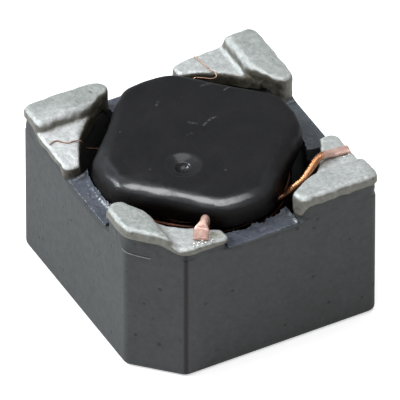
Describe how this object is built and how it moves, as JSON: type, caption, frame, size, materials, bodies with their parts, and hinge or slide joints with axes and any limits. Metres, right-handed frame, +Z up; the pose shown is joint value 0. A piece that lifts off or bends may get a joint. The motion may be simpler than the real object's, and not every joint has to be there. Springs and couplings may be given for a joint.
{
  "type": "shielded smd inductor",
  "caption": "Shielded surface-mount coupled inductor shown terminal side up: square ferrite cup, round drum core, copper windings and raised silver corner terminals.",
  "frame": {"origin": "middle of the plain resting face", "axes": "+Z up through the open side that carries the terminals, X and Y along the sides of the square body, with the bevelled corner at -X -Y"},
  "size_m": [0.006, 0.006, 0.0041],
  "materials": {
    "shield_ferrite": "matt grey ferrite, pressed and ground",
    "drum_ferrite": "dark ferrite with a satin skin",
    "thick_wire": "enamelled copper wire",
    "fine_wire": "enamelled copper wire",
    "silver_coat": "matt fired silver with a tin finish",
    "solder": "bright solder",
    "adhesive": "glossy epoxy, slightly blue"
  },
  "bodies": {
    "root": {"shield": "shield_ferrite", "drum_core": "drum_ferrite", "thick_winding": "thick_wire", "fine_winding": "fine_wire", "terminal_1": "silver_coat", "terminal_2": "silver_coat", "terminal_3": "silver_coat", "terminal_4": "silver_coat", "solder_1": "solder", "solder_2": "solder", "adhesive_1": "adhesive", "adhesive_2": "adhesive", "adhesive_3": "adhesive", "adhesive_4": "adhesive"}
  },
  "joints": []
}
